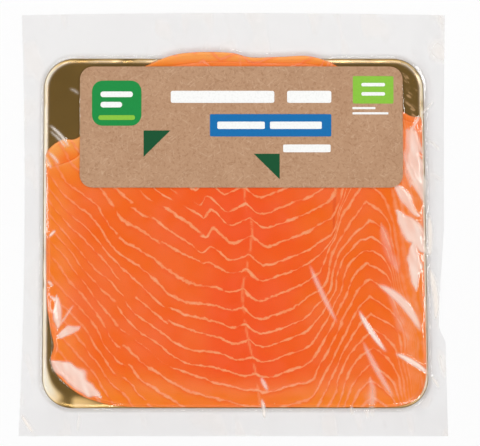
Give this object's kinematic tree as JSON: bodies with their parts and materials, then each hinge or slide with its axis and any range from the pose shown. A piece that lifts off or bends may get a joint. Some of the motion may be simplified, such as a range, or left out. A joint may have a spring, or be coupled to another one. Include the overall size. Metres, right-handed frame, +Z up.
{
  "type": "pack of smoked salmon",
  "caption": "Flat vacuum pack of sliced smoked salmon on a gold board in clear film, with a kraft paper label across its upper half, lying face up.",
  "frame": {"origin": "on the underside, in the middle of the pouch's width and depth", "axes": "+Z up from the surface that the pack lies on towards the shown side, +X along the label to its right end, +Y towards the edge nearest the label"},
  "size_m": [0.2, 0.197, 0.0056],
  "materials": {
    "film": "clear glossy film, faintly grey where two films lie together",
    "label_paper": "matte kraft paper with fine fibres and flat printed fields",
    "gold_board": "metallised gold card, satin",
    "salmon": "moist orange fish flesh with paler fat lines"
  },
  "bodies": {
    "root": {"pouch": "film", "label": "label_paper"}
  },
  "joints": []
}
